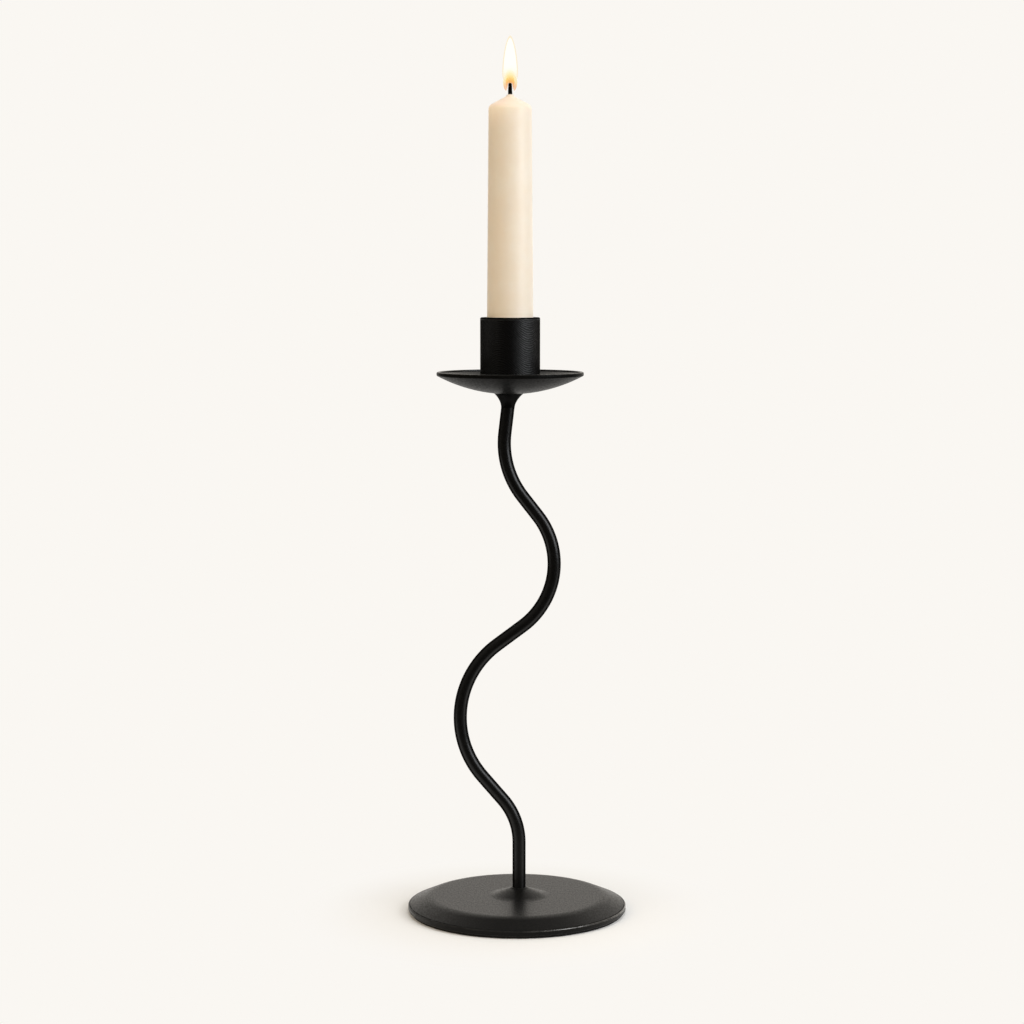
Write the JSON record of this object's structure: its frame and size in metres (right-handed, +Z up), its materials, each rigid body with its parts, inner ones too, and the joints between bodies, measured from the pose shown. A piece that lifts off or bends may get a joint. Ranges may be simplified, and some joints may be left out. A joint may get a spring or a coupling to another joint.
{
  "type": "taper candle holder",
  "caption": "Taper candle holder with a rod stem bent in a flat wave, standing on a low round base and carrying a drip pan and a straight cup with a dinner candle in it.",
  "frame": {"origin": "on the table under the middle of the base, at the underside of the felt ring", "axes": "+Z up, the rod's waves in the XZ plane with +X to the right as seen from the front, +Y to the back"},
  "size_m": [0.105, 0.105, 0.396],
  "materials": {
    "base_coat": "satin",
    "black_coat": "satin",
    "screw_steel": "satin",
    "felt": "matte",
    "wax": "satin",
    "wick": "matte"
  },
  "bodies": {
    "holder": {"base_plate": "base_coat", "base_felt": "felt", "base_screw": "screw_steel", "stem": "black_coat", "stem_collar": "black_coat", "drip_pan": "black_coat", "candle_cup": "black_coat", "cup_screw": "screw_steel"},
    "candle": {"candle": "wax", "wick": "wick"}
  },
  "joints": [
    {"name": "candle_lift", "type": "slide", "parent": "holder", "child": "candle", "axis": [0, 0, 1], "range_m": [0, 0.036]}
  ]
}
